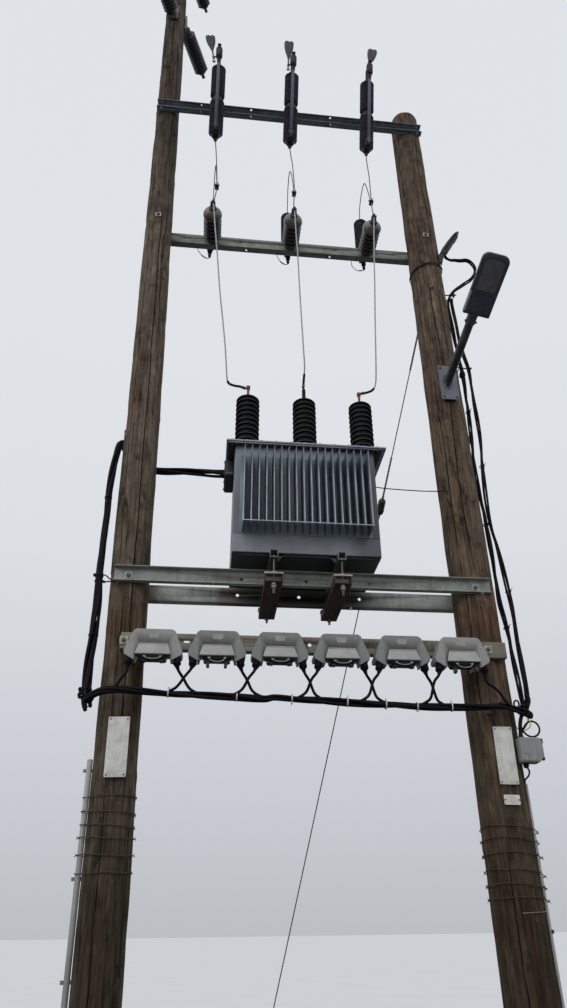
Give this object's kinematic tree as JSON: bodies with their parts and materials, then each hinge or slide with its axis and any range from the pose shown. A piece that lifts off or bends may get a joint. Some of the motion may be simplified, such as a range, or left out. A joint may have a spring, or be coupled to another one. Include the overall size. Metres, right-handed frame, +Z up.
{
  "type": "pole mounted transformer",
  "caption": "Timber two-pole substation with an oil-filled transformer on a steel platform, drop-out fuses and arresters above, low voltage fuse units and cables below.",
  "frame": {"origin": "centre of the left pole's foot at ground level", "axes": "+Z up, +X along the crossarms from the left pole to the right pole, +Y to the rear; the street side is -Y"},
  "size_m": [3.0949, 4.2649, 11.5985],
  "materials": {
    "timber": "weathered, with long checks",
    "galvanised": "dull galvanised",
    "old_galvanised": "weathered galvanised with rust stains",
    "rusty_steel": "rusty brown",
    "tank_paint": "satin blue-grey paint, dusty",
    "black_polymer": "weathered polymer",
    "brown_porcelain": "grey-brown glaze",
    "grey_tube": "grey fibre tube",
    "grey_plastic": "weathered grey",
    "carrier_plastic": "light grey",
    "black_cable": "black insulation",
    "lamp_housing": "dark grey",
    "white_enamel": "off-white enamel",
    "box_plastic": "light grey"
  },
  "bodies": {
    "structure": {"left_pole": "timber", "right_pole": "timber", "top_arm": "galvanised", "middle_arm": "galvanised", "platform_front_beam": "galvanised", "platform_rear_beam": "galvanised", "fuse_arm": "old_galvanised", "through_bolts": "rusty_steel", "hold_down_channels": "rusty_steel", "hold_down_rods": "old_galvanised", "transformer_base": "tank_paint", "transformer_tank": "tank_paint", "cooling_fins": "tank_paint", "transformer_lid": "tank_paint", "high_voltage_bushings": "black_polymer", "low_voltage_box": "black_polymer", "cutout_insulators": "black_polymer", "cutout_fittings": "galvanised", "post_insulators": "brown_porcelain", "surge_arresters": "black_polymer", "line_post_insulators": "black_polymer", "insulator_fittings": "galvanised", "fuse_housings": "grey_plastic", "jumpers": "black_cable", "low_voltage_cables": "black_cable", "stay_wire": "old_galvanised", "stay_insulator": "black_polymer", "lamp_arm": "galvanised", "lamp_head": "lamp_housing", "dead_end_clamp": "galvanised", "pole_plates": "white_enamel", "junction_box": "box_plastic", "barbed_wire": "rusty_steel", "earth_wires": "old_galvanised"},
    "fuse_tube_left_body": {"fuse_tube_left": "grey_tube"},
    "fuse_tube_middle_body": {"fuse_tube_middle": "grey_tube"},
    "fuse_tube_right_body": {"fuse_tube_right": "grey_tube"},
    "fuse_carrier_1_body": {"fuse_carrier_1": "carrier_plastic"},
    "fuse_carrier_2_body": {"fuse_carrier_2": "carrier_plastic"},
    "fuse_carrier_3_body": {"fuse_carrier_3": "carrier_plastic"},
    "fuse_carrier_4_body": {"fuse_carrier_4": "carrier_plastic"},
    "fuse_carrier_5_body": {"fuse_carrier_5": "carrier_plastic"},
    "fuse_carrier_6_body": {"fuse_carrier_6": "carrier_plastic"}
  },
  "joints": [
    {"name": "fuse_tube_left_hinge", "type": "hinge", "parent": "structure", "child": "fuse_tube_left_body", "pos_m": [0.24, -0.23963, 7.85067], "axis": [1, 0, 0], "range_deg": [0, 160]},
    {"name": "fuse_tube_middle_hinge", "type": "hinge", "parent": "structure", "child": "fuse_tube_middle_body", "pos_m": [0.928, -0.23963, 7.85067], "axis": [1, 0, 0], "range_deg": [0, 160]},
    {"name": "fuse_tube_right_hinge", "type": "hinge", "parent": "structure", "child": "fuse_tube_right_body", "pos_m": [1.651, -0.23963, 7.85067], "axis": [1, 0, 0], "range_deg": [0, 160]},
    {"name": "fuse_carrier_1_hinge", "type": "hinge", "parent": "structure", "child": "fuse_carrier_1_body", "pos_m": [0.108, -0.284, 2.911], "axis": [-1, 0, 0], "range_deg": [0, 85]},
    {"name": "fuse_carrier_2_hinge", "type": "hinge", "parent": "structure", "child": "fuse_carrier_2_body", "pos_m": [0.462, -0.284, 2.911], "axis": [-1, 0, 0], "range_deg": [0, 85]},
    {"name": "fuse_carrier_3_hinge", "type": "hinge", "parent": "structure", "child": "fuse_carrier_3_body", "pos_m": [0.816, -0.284, 2.911], "axis": [-1, 0, 0], "range_deg": [0, 85]},
    {"name": "fuse_carrier_4_hinge", "type": "hinge", "parent": "structure", "child": "fuse_carrier_4_body", "pos_m": [1.17, -0.284, 2.911], "axis": [-1, 0, 0], "range_deg": [0, 85]},
    {"name": "fuse_carrier_5_hinge", "type": "hinge", "parent": "structure", "child": "fuse_carrier_5_body", "pos_m": [1.524, -0.284, 2.911], "axis": [-1, 0, 0], "range_deg": [0, 85]},
    {"name": "fuse_carrier_6_hinge", "type": "hinge", "parent": "structure", "child": "fuse_carrier_6_body", "pos_m": [1.878, -0.284, 2.911], "axis": [-1, 0, 0], "range_deg": [0, 85]}
  ]
}
